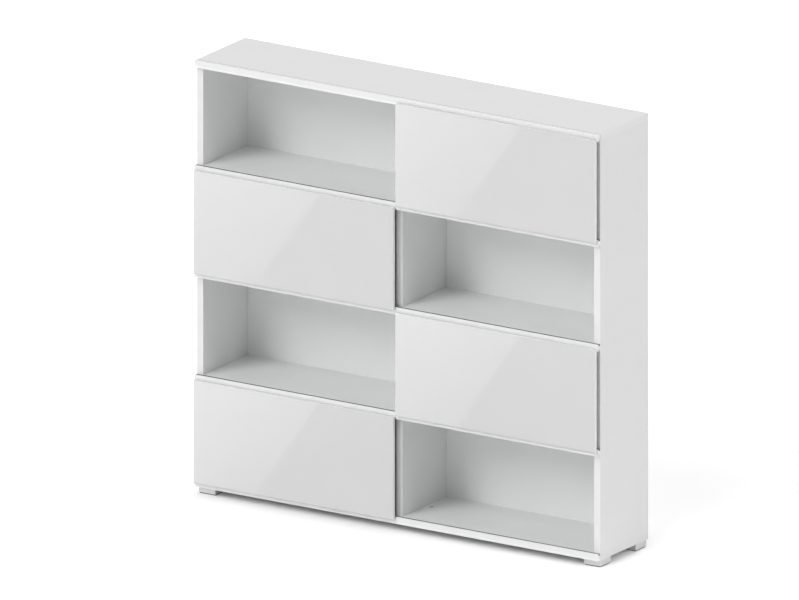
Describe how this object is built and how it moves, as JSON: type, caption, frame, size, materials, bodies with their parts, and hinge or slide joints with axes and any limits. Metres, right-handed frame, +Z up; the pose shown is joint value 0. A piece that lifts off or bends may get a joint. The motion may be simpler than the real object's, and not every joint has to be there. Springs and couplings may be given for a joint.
{
  "type": "sliding door bookcase",
  "caption": "Wide white office bookcase with open tiers, each half covered by a gloss sliding door that runs in grooved front rails.",
  "frame": {"origin": "centre of the bounding box, on the floor", "axes": "+X to the right seen from the front, +Y to the back, +Z up"},
  "size_m": [1.6, 0.3236, 1.511],
  "materials": {
    "melamine_white": "satin white melamine with a very fine pearl grain",
    "back_white": "matt white laminate",
    "rail_white": "satin white powder coat",
    "door_gloss": "high gloss white lacquer",
    "foot_satin": "satin light grey",
    "glide_dark": "matt dark grey",
    "cap_grey": "matt grey",
    "track_grey": "extruded grey track with fine lengthwise lines",
    "nylon_grey": "moulded nylon",
    "nylon_white": "moulded nylon",
    "zinc_steel": "bright zinc plate",
    "beech_dowel": "plain beech"
  },
  "bodies": {
    "carcass": {"side_panel_left": "melamine_white", "side_panel_right": "melamine_white", "centre_divider": "melamine_white", "top_board": "melamine_white", "bottom_board": "melamine_white", "shelf_1_left": "melamine_white", "shelf_1_right": "melamine_white", "shelf_2_left": "melamine_white", "shelf_2_right": "melamine_white", "shelf_3_left": "melamine_white", "shelf_3_right": "melamine_white", "back_panel_left": "back_white", "back_panel_right": "back_white", "rail_0": "rail_white", "rail_1": "rail_white", "rail_2": "rail_white", "rail_3": "rail_white", "rail_4": "rail_white", "roller_tracks": "track_grey", "rail_stops": "nylon_grey", "dowels": "beech_dowel", "back_panel_screws": "zinc_steel", "feet_left": "foot_satin", "feet_right": "foot_satin", "foot_centre": "foot_satin", "foot_screws": "zinc_steel", "access_caps": "cap_grey"},
    "door_1": {"door_1": "door_gloss", "door_1_roller_brackets": "nylon_grey", "door_1_axles": "zinc_steel", "door_1_guides": "nylon_grey", "door_1_screws": "zinc_steel"},
    "door_1_wheel_left": {"door_1_wheel_left": "nylon_white"},
    "door_1_wheel_right": {"door_1_wheel_right": "nylon_white"},
    "door_2": {"door_2": "door_gloss", "door_2_roller_brackets": "nylon_grey", "door_2_axles": "zinc_steel", "door_2_guides": "nylon_grey", "door_2_screws": "zinc_steel"},
    "door_2_wheel_left": {"door_2_wheel_left": "nylon_white"},
    "door_2_wheel_right": {"door_2_wheel_right": "nylon_white"},
    "door_3": {"door_3": "door_gloss", "door_3_roller_brackets": "nylon_grey", "door_3_axles": "zinc_steel", "door_3_guides": "nylon_grey", "door_3_screws": "zinc_steel"},
    "door_3_wheel_left": {"door_3_wheel_left": "nylon_white"},
    "door_3_wheel_right": {"door_3_wheel_right": "nylon_white"},
    "door_4": {"door_4": "door_gloss", "door_4_roller_brackets": "nylon_grey", "door_4_axles": "zinc_steel", "door_4_guides": "nylon_grey", "door_4_screws": "zinc_steel"},
    "door_4_wheel_left": {"door_4_wheel_left": "nylon_white"},
    "door_4_wheel_right": {"door_4_wheel_right": "nylon_white"},
    "glide_front_left": {"glide_front_left": "glide_dark"},
    "glide_rear_left": {"glide_rear_left": "glide_dark"},
    "glide_front_right": {"glide_front_right": "glide_dark"},
    "glide_rear_right": {"glide_rear_right": "glide_dark"},
    "glide_centre": {"glide_centre": "glide_dark"}
  },
  "joints": [
    {"name": "door_1_slide", "type": "slide", "parent": "carcass", "child": "door_1", "axis": [1, 0, 0], "range_m": [0, 0.8]},
    {"name": "door_1_wheel_left_spin", "type": "hinge", "parent": "door_1", "child": "door_1_wheel_left", "pos_m": [-0.726, -0.14075, 0.0543], "axis": [0, 1, 0], "continuous": true},
    {"name": "door_1_wheel_right_spin", "type": "hinge", "parent": "door_1", "child": "door_1_wheel_right", "pos_m": [-0.074, -0.14075, 0.0543], "axis": [0, 1, 0], "continuous": true},
    {"name": "door_2_slide", "type": "slide", "parent": "carcass", "child": "door_2", "axis": [-1, 0, 0], "range_m": [0, 0.8]},
    {"name": "door_2_wheel_left_spin", "type": "hinge", "parent": "door_2", "child": "door_2_wheel_left", "pos_m": [0.074, -0.14075, 0.4193], "axis": [0, 1, 0], "continuous": true},
    {"name": "door_2_wheel_right_spin", "type": "hinge", "parent": "door_2", "child": "door_2_wheel_right", "pos_m": [0.726, -0.14075, 0.4193], "axis": [0, 1, 0], "continuous": true},
    {"name": "door_3_slide", "type": "slide", "parent": "carcass", "child": "door_3", "axis": [1, 0, 0], "range_m": [0, 0.8]},
    {"name": "door_3_wheel_left_spin", "type": "hinge", "parent": "door_3", "child": "door_3_wheel_left", "pos_m": [-0.726, -0.14075, 0.7843], "axis": [0, 1, 0], "continuous": true},
    {"name": "door_3_wheel_right_spin", "type": "hinge", "parent": "door_3", "child": "door_3_wheel_right", "pos_m": [-0.074, -0.14075, 0.7843], "axis": [0, 1, 0], "continuous": true},
    {"name": "door_4_slide", "type": "slide", "parent": "carcass", "child": "door_4", "axis": [-1, 0, 0], "range_m": [0, 0.8]},
    {"name": "door_4_wheel_left_spin", "type": "hinge", "parent": "door_4", "child": "door_4_wheel_left", "pos_m": [0.074, -0.14075, 1.1493], "axis": [0, 1, 0], "continuous": true},
    {"name": "door_4_wheel_right_spin", "type": "hinge", "parent": "door_4", "child": "door_4_wheel_right", "pos_m": [0.726, -0.14075, 1.1493], "axis": [0, 1, 0], "continuous": true},
    {"name": "level_front_left", "type": "slide", "parent": "carcass", "child": "glide_front_left", "axis": [0, 0, -1], "range_m": [0, 0.01]},
    {"name": "level_rear_left", "type": "slide", "parent": "carcass", "child": "glide_rear_left", "axis": [0, 0, -1], "range_m": [0, 0.01]},
    {"name": "level_front_right", "type": "slide", "parent": "carcass", "child": "glide_front_right", "axis": [0, 0, -1], "range_m": [0, 0.01]},
    {"name": "level_rear_right", "type": "slide", "parent": "carcass", "child": "glide_rear_right", "axis": [0, 0, -1], "range_m": [0, 0.01]},
    {"name": "level_centre", "type": "slide", "parent": "carcass", "child": "glide_centre", "axis": [0, 0, -1], "range_m": [0, 0.01]}
  ],
  "couplings": [
    {"joint": "door_1_wheel_left_spin", "follows": "door_1_slide", "rad_per_m": 125},
    {"joint": "door_1_wheel_right_spin", "follows": "door_1_slide", "rad_per_m": 125},
    {"joint": "door_2_wheel_left_spin", "follows": "door_2_slide", "rad_per_m": -125},
    {"joint": "door_2_wheel_right_spin", "follows": "door_2_slide", "rad_per_m": -125},
    {"joint": "door_3_wheel_left_spin", "follows": "door_3_slide", "rad_per_m": 125},
    {"joint": "door_3_wheel_right_spin", "follows": "door_3_slide", "rad_per_m": 125},
    {"joint": "door_4_wheel_left_spin", "follows": "door_4_slide", "rad_per_m": -125},
    {"joint": "door_4_wheel_right_spin", "follows": "door_4_slide", "rad_per_m": -125}
  ]
}
